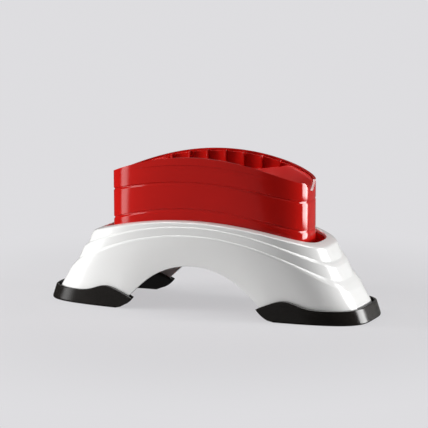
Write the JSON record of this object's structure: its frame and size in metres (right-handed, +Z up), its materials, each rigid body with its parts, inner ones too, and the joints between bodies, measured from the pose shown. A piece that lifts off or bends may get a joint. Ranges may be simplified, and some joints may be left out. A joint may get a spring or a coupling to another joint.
{
  "type": "bike trainer front riser block",
  "caption": "Wheel riser block for an indoor bicycle trainer: a moulded base on two booted legs, and a ribbed cradle that slides up and down in it to hold the front tyre.",
  "frame": {"origin": "on the floor, under the middle of the block", "axes": "+Z up, +X along the block's length and the wheel's plane, +Y from the front face to the back face"},
  "size_m": [0.3524, 0.108, 0.1588],
  "materials": {
    "white_plastic": "gloss",
    "red_plastic": "gloss",
    "black_rubber": "satin",
    "black_nylon": "satin",
    "zinc_steel": "zinc plated"
  },
  "bodies": {
    "base": {"base_shell": "white_plastic", "well_liner": "red_plastic", "boot_left": "black_rubber", "boot_right": "black_rubber", "bolt_keeper_left": "black_nylon", "bolt_keeper_right": "black_nylon", "liner_screw_left_front": "zinc_steel", "liner_screw_left_back": "zinc_steel", "liner_screw_right_front": "zinc_steel", "liner_screw_right_back": "zinc_steel", "keeper_screw_left_front": "zinc_steel", "keeper_screw_left_back": "zinc_steel", "keeper_screw_right_front": "zinc_steel", "keeper_screw_right_back": "zinc_steel"},
    "cradle": {"cradle_sleeve": "red_plastic", "tyre_saddle": "red_plastic", "saddle_screw_left_front": "zinc_steel", "saddle_screw_left_back": "zinc_steel", "saddle_screw_right_front": "zinc_steel", "saddle_screw_right_back": "zinc_steel"},
    "bolt_left": {"bolt_left": "black_nylon"},
    "bolt_right": {"bolt_right": "black_nylon"}
  },
  "joints": [
    {"name": "cradle_slide", "type": "slide", "parent": "base", "child": "cradle", "axis": [0, 0, 1], "range_m": [-0.0274, 0]},
    {"name": "bolt_left_slide", "type": "slide", "parent": "base", "child": "bolt_left", "axis": [1, 0, 0], "range_m": [0, 0.005]},
    {"name": "bolt_right_slide", "type": "slide", "parent": "base", "child": "bolt_right", "axis": [-1, 0, 0], "range_m": [0, 0.005]}
  ]
}
